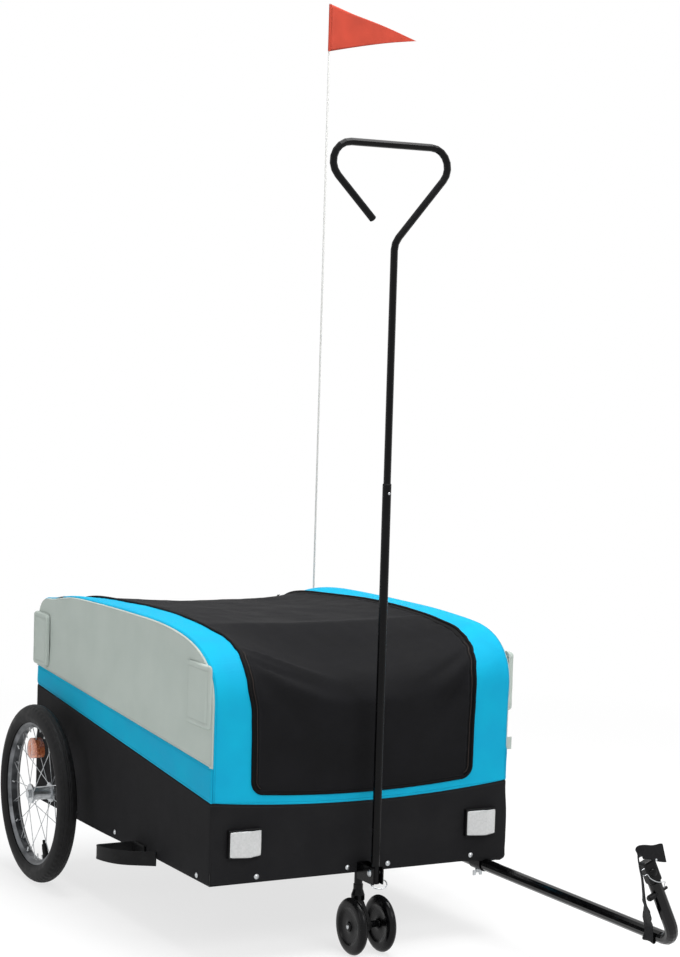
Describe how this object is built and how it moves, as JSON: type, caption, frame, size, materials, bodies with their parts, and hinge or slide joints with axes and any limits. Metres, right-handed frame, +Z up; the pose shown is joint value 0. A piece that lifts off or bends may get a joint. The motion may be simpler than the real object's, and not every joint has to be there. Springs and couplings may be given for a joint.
{
  "type": "bike cargo trailer",
  "caption": "Bike cargo trailer: fabric body with a zipped cover on a steel frame, road wheels, front castor, walking handle, side tow bar with hitch and a safety flag.",
  "frame": {"origin": "on the floor, under the middle of the whole trailer's box", "axes": "+Z up from the floor, +X across the trailer towards the tow bar side, and -Y the towing end with the castor and handle"},
  "size_m": [1.0345, 1.6714, 2.05],
  "materials": {
    "black_steel": "gloss black powder coat",
    "bright_steel": "bright zinc plate",
    "black_plastic": "satin black",
    "rim_steel": "dark satin",
    "tyre_rubber": "matt rubber",
    "black_fabric": "coated woven cloth",
    "cover_fabric": "coated woven cloth",
    "blue_fabric": "coated woven cloth",
    "grey_fabric": "coated woven cloth",
    "reflector_clear": "clear prismatic lens",
    "reflector_amber": "amber prismatic lens",
    "flag_red": "thin cloth",
    "pole_white": "white glass fibre rod",
    "floor_grey": "grained board"
  },
  "bodies": {
    "trailer": {"axle_bracket_left": "black_steel", "axle_bracket_right": "black_steel", "axle_left": "bright_steel", "axle_right": "bright_steel", "band_left": "blue_fabric", "band_right": "blue_fabric", "bumper_left": "black_plastic", "bumper_right": "black_plastic", "crossbar_front": "black_steel", "crossbar_rear": "black_steel", "flap_front_left": "grey_fabric", "flap_front_right": "grey_fabric", "flap_rear_left": "grey_fabric", "flap_rear_right": "grey_fabric", "floor_board": "floor_grey", "front_strip": "blue_fabric", "handle_bracket": "black_steel", "handle_pin": "bright_steel", "hoop_left": "black_steel", "hoop_right": "black_steel", "rail_front": "black_steel", "rail_left": "black_steel", "rail_rear": "black_steel", "rail_right": "black_steel", "rear_panel": "blue_fabric", "reflector_front_left": "reflector_clear", "reflector_front_right": "reflector_clear", "side_left": "grey_fabric", "side_right": "grey_fabric", "skirt_front": "black_fabric", "skirt_left": "black_fabric", "skirt_rear": "black_fabric", "skirt_right": "black_fabric", "tow_bar_clamp": "black_steel", "tow_bar_socket": "black_steel"},
    "wheel_left": {"tyre_left": "tyre_rubber", "rim_left": "rim_steel", "hub_left": "bright_steel", "wheel_reflector_left": "reflector_amber"},
    "wheel_right": {"tyre_right": "tyre_rubber", "rim_right": "rim_steel", "hub_right": "bright_steel", "wheel_reflector_right": "reflector_amber"},
    "castor": {"castor_fork": "black_plastic", "castor_axle": "bright_steel"},
    "castor_wheel_left": {"castor_wheel_left": "black_plastic"},
    "castor_wheel_right": {"castor_wheel_right": "black_plastic"},
    "handle": {"handle_tube_lower": "black_steel", "handle_tube_upper": "black_steel"},
    "handle_button": {"handle_button": "bright_steel"},
    "cover": {"cover": "cover_fabric"},
    "flag": {"flag_pole": "pole_white", "flag": "flag_red"},
    "tow_bar": {"tow_bar": "black_steel"},
    "wing_screw": {"wing_screw": "black_steel"},
    "hitch": {"hitch_coupler": "black_plastic", "safety_strap": "black_fabric"},
    "hitch_pin": {"hitch_pin": "black_plastic"}
  },
  "joints": [
    {"name": "wheel_left_spin", "type": "hinge", "parent": "trailer", "child": "wheel_left", "pos_m": [-0.481, 0.6357, 0.2], "axis": [1, 0, 0], "continuous": true},
    {"name": "wheel_right_spin", "type": "hinge", "parent": "trailer", "child": "wheel_right", "pos_m": [0.317, 0.6357, 0.2], "axis": [1, 0, 0], "continuous": true},
    {"name": "castor_swivel", "type": "hinge", "parent": "trailer", "child": "castor", "pos_m": [-0.082, -0.1389, 0.15], "axis": [0, 0, 1], "continuous": true},
    {"name": "castor_wheel_left_spin", "type": "hinge", "parent": "castor", "child": "castor_wheel_left", "pos_m": [-0.115, -0.1759, 0.058], "axis": [1, 0, 0], "continuous": true},
    {"name": "castor_wheel_right_spin", "type": "hinge", "parent": "castor", "child": "castor_wheel_right", "pos_m": [-0.049, -0.1759, 0.058], "axis": [1, 0, 0], "continuous": true},
    {"name": "handle_tilt", "type": "hinge", "parent": "trailer", "child": "handle", "pos_m": [-0.082, -0.206, 0.172], "axis": [1, 0, 0], "range_deg": [0, 80]},
    {"name": "handle_button_press", "type": "slide", "parent": "handle", "child": "handle_button", "axis": [0, 1, 0], "range_m": [0, 0.003], "stiffness_N_per_m": 400},
    {"name": "cover_open", "type": "hinge", "parent": "trailer", "child": "cover", "pos_m": [-0.082, 0.77188, 0.6], "axis": [-1, 0, 0], "range_deg": [0, 100]},
    {"name": "flag_pole_lift", "type": "slide", "parent": "trailer", "child": "flag", "axis": [0, 0, 1], "range_m": [0, 0.12]},
    {"name": "tow_bar_draw", "type": "slide", "parent": "trailer", "child": "tow_bar", "axis": [0, -1, 0], "range_m": [0, 0.25]},
    {"name": "wing_screw_turn", "type": "hinge", "parent": "trailer", "child": "wing_screw", "pos_m": [0.219, -0.1183, 0.149], "axis": [0, 0, 1], "range_deg": [0, 360]},
    {"name": "hitch_swivel", "type": "hinge", "parent": "tow_bar", "child": "hitch", "pos_m": [0.219, -0.8046, 0.149], "axis": [-0.3939, 0.0751, 0.9161], "range_deg": [-45, 45], "deforming": ["safety_strap"]},
    {"name": "hitch_pin_pull", "type": "slide", "parent": "tow_bar", "child": "hitch_pin", "axis": [-0.9191, -0.0322, -0.3926], "range_m": [0, 0.035]}
  ]
}
